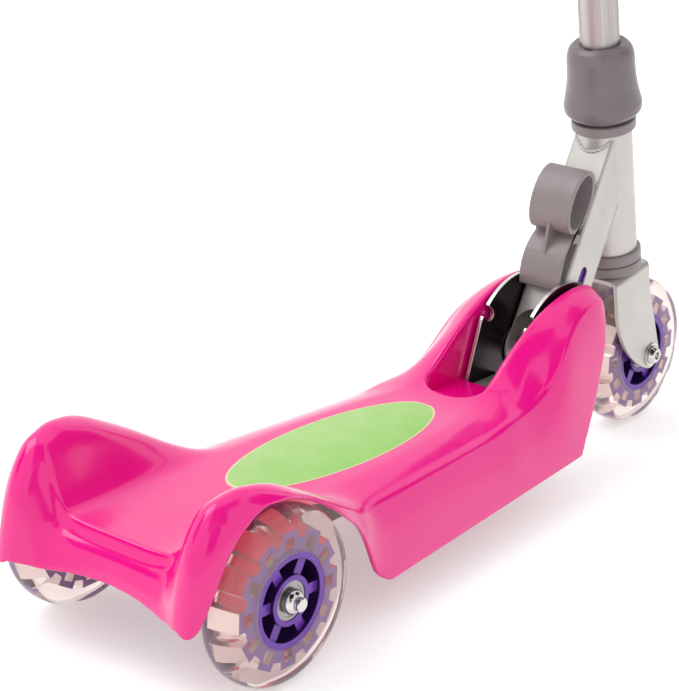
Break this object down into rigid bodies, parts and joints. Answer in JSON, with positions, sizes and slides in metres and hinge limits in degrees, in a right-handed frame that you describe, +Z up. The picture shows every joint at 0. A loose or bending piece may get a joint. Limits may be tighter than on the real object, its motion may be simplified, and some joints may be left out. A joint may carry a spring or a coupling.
{
  "type": "kick scooter",
  "caption": "Child's kick scooter: moulded deck with fenders over its rear wheels, folding stem with a sprung slide latch, steered front wheel in a fork, and a T-bar with soft grips.",
  "frame": {"origin": "on the floor, under the middle of the scooter's bounding box", "axes": "+X the way it rolls forward, +Y to the rider's left, +Z up"},
  "size_m": [0.567, 0.27, 0.652],
  "materials": {
    "deck_plastic": "glossy moulded polypropylene",
    "label_film": "satin printed film",
    "grey_plastic": "fine moulded grain",
    "purple_plastic": "moulded",
    "clear_tyre": "clear cast polyurethane",
    "silver_paint": "satin silver powder coat",
    "rail_paint": "satin grey coat",
    "bar_chrome": "bright drawn tube",
    "bracket_steel": "bright zinc plate",
    "grip_rubber": "soft moulded",
    "black_plastic": "moulded",
    "bright_fasteners": "bright plated",
    "inner_steel": "turned"
  },
  "bodies": {
    "frame": {"main_rail": "rail_paint", "rail_end_cap": "black_plastic", "hinge_plate_left": "bracket_steel", "hinge_plate_right": "bracket_steel", "pivot_bolt": "bright_fasteners", "pivot_nut": "bright_fasteners", "rear_axle": "inner_steel", "axle_push_nuts": "bright_fasteners", "axle_tube": "inner_steel", "deck_screws": "inner_steel", "deck_label": "label_film", "deck_shell": "deck_plastic"},
    "stem": {"stem_tube": "silver_paint", "pivot_bush": "inner_steel", "head_tube": "silver_paint", "lower_cup": "grey_plastic", "upper_cup": "grey_plastic", "spring_stop": "inner_steel", "latch_spring": "inner_steel"},
    "latch": {"latch_lever": "grey_plastic", "latch_slider": "purple_plastic", "latch_pin": "inner_steel"},
    "steering": {"fork": "silver_paint", "steerer": "inner_steel", "cross_pin": "inner_steel", "lower_race": "grey_plastic", "dust_washer": "grey_plastic", "stem_bell": "grey_plastic", "column_tube": "bar_chrome", "handlebar": "bar_chrome", "grip_left": "grip_rubber", "grip_right": "grip_rubber", "bar_ends": "grip_rubber", "front_bolt": "bright_fasteners", "front_nut": "bright_fasteners", "front_washers": "bright_fasteners", "front_spacers": "inner_steel"},
    "front_wheel": {"front_wheel_core": "purple_plastic", "front_wheel_tyre": "clear_tyre", "front_wheel_bearings": "inner_steel", "front_wheel_spacer": "inner_steel"},
    "rear_wheel_left": {"rear_wheel_left_core": "purple_plastic", "rear_wheel_left_tyre": "clear_tyre", "rear_wheel_left_bearings": "inner_steel", "rear_wheel_left_spacer": "inner_steel"},
    "rear_wheel_right": {"rear_wheel_right_core": "purple_plastic", "rear_wheel_right_tyre": "clear_tyre", "rear_wheel_right_bearings": "inner_steel", "rear_wheel_right_spacer": "inner_steel"}
  },
  "joints": [
    {"name": "fold", "type": "hinge", "parent": "frame", "child": "stem", "pos_m": [0.123, 0, 0.078], "axis": [0, -1, 0], "range_deg": [0, 76.7]},
    {"name": "latch_lift", "type": "slide", "parent": "stem", "child": "latch", "axis": [0.4617, 0, 0.887], "range_m": [0, 0.0129], "stiffness_N_per_m": 500, "springref_m": -0.01, "deforming": ["latch_spring"]},
    {"name": "steer", "type": "hinge", "parent": "stem", "child": "steering", "pos_m": [0.21711, 0, 0.04681], "axis": [-0.1908, 0, 0.9816], "range_deg": [-60, 60]},
    {"name": "front_wheel_spin", "type": "hinge", "parent": "steering", "child": "front_wheel", "pos_m": [0.2335, 0, 0.05], "axis": [0, 1, 0], "continuous": true},
    {"name": "rear_left_spin", "type": "hinge", "parent": "frame", "child": "rear_wheel_left", "pos_m": [-0.2165, 0.073, 0.05], "axis": [0, 1, 0], "continuous": true},
    {"name": "rear_right_spin", "type": "hinge", "parent": "frame", "child": "rear_wheel_right", "pos_m": [-0.2165, -0.073, 0.05], "axis": [0, 1, 0], "continuous": true}
  ]
}
